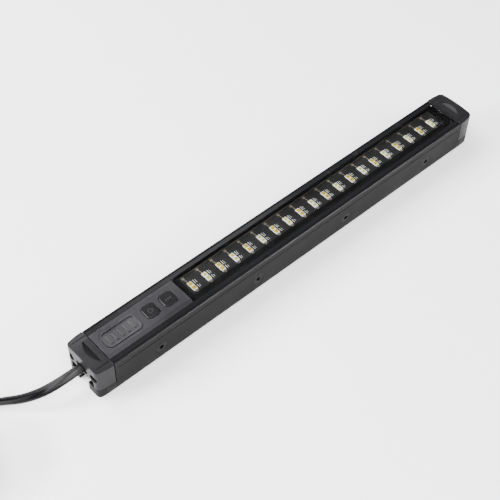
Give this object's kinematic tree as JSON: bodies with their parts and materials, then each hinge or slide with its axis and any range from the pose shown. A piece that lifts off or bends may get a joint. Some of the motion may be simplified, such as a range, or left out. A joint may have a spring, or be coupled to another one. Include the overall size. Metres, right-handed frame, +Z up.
{
  "type": "work light",
  "caption": "Slim rectangular LED work light bar with a T-slot rail underneath, two push keys, a long clear lens and a flat lead to a vehicle socket plug.",
  "frame": {"origin": "centre of the bar's outline at the level of the two feet it rests on, without the lead", "axes": "+X along the bar away from the lead, +Y across it, +Z up out of the resting face through the lens"},
  "size_m": [0.5831, 0.0442, 0.025],
  "materials": {
    "housing_plastic": "fine moulded texture, dark charcoal",
    "frame_plastic": "satin, dark charcoal",
    "panel_plastic": "satin, slightly blue charcoal",
    "badge_plastic": "satin charcoal, bevelled rim",
    "key_plastic": "satin charcoal",
    "rail_aluminium": "extruded, clear anodised",
    "gasket_rubber": "matt black rubber",
    "dome_silicone": "milky silicone",
    "switch_plastic": "black switch bodies",
    "board_green": "solder mask",
    "board_black": "black solder mask",
    "coil_ferrite": "ferrite and lacquered wire",
    "chip_black": "moulded chip bodies",
    "wire_red": "insulated wire",
    "package_white": "white LED package",
    "phosphor_amber": "amber phosphor",
    "phosphor_white": "pale yellow phosphor",
    "resistor_grey": "tan and grey chip resistors",
    "pad_grey": "heat-conducting pad",
    "well_black": "black reflector mask",
    "lens_clear": "clear moulded lens",
    "screw_black": "black zinc",
    "anchor_steel": "plain",
    "cord_pvc": "satin black jacket",
    "tie_nylon": "black strap",
    "plug_plastic": "black",
    "contact_nickel": "nickel plated",
    "spring_steel": "spring wire",
    "fuse_glass": "glass tube with metal ends"
  },
  "bodies": {
    "light": {"side_shell_left": "housing_plastic", "side_shell_right": "housing_plastic", "mounting_rail": "rail_aluminium", "cable_end_cap": "housing_plastic", "far_end_cap": "housing_plastic", "cable_cap_gasket": "gasket_rubber", "far_cap_gasket": "gasket_rubber", "top_frame": "frame_plastic", "switch_panel": "panel_plastic", "badge_plate": "badge_plastic", "power_key_dome": "dome_silicone", "colour_key_dome": "dome_silicone", "tact_switches": "switch_plastic", "control_board": "board_green", "driver_coil": "coil_ferrite", "driver_chips": "chip_black", "board_jumpers": "wire_red", "led_board": "board_black", "led_packages_amber": "package_white", "led_packages_white": "package_white", "phosphor_amber": "phosphor_amber", "phosphor_white": "phosphor_white", "led_resistors": "resistor_grey", "thermal_pad": "pad_grey", "heat_spreader": "rail_aluminium", "light_well": "well_black", "lens_gasket": "gasket_rubber", "lens": "lens_clear", "side_screws_left": "screw_black", "side_screws_right": "screw_black", "cable_cap_screws": "screw_black", "far_cap_screws": "screw_black", "cable_gland": "gasket_rubber", "cord_anchor": "anchor_steel", "power_leads": "wire_red", "power_cord": "cord_pvc", "cord_hank": "cord_pvc", "cord_ties": "tie_nylon", "cord_tail": "cord_pvc", "plug_relief": "cord_pvc", "plug_shell_upper": "plug_plastic", "plug_shell_lower": "plug_plastic", "plug_collar": "plug_plastic", "plug_spring": "spring_steel", "plug_fuse": "fuse_glass", "plug_side_contacts": "contact_nickel", "plug_leads": "wire_red"},
    "power_button": {"power_button": "key_plastic"},
    "colour_button": {"colour_button": "key_plastic"},
    "plug_tip": {"plug_tip": "contact_nickel"}
  },
  "joints": [
    {"name": "power_button_press", "type": "slide", "parent": "light", "child": "power_button", "axis": [0, 0, -1], "range_m": [0, 0.0005], "stiffness_N_per_m": 2000, "springref_m": -0.0005, "deforming": ["power_key_dome"]},
    {"name": "colour_button_press", "type": "slide", "parent": "light", "child": "colour_button", "axis": [0, 0, -1], "range_m": [0, 0.0005], "stiffness_N_per_m": 2000, "springref_m": -0.0005, "deforming": ["colour_key_dome"]},
    {"name": "plug_tip_press", "type": "slide", "parent": "light", "child": "plug_tip", "axis": [1, 0, 0], "range_m": [0, 0.003], "stiffness_N_per_m": 1200, "springref_m": -0.002, "deforming": ["plug_spring"]}
  ]
}
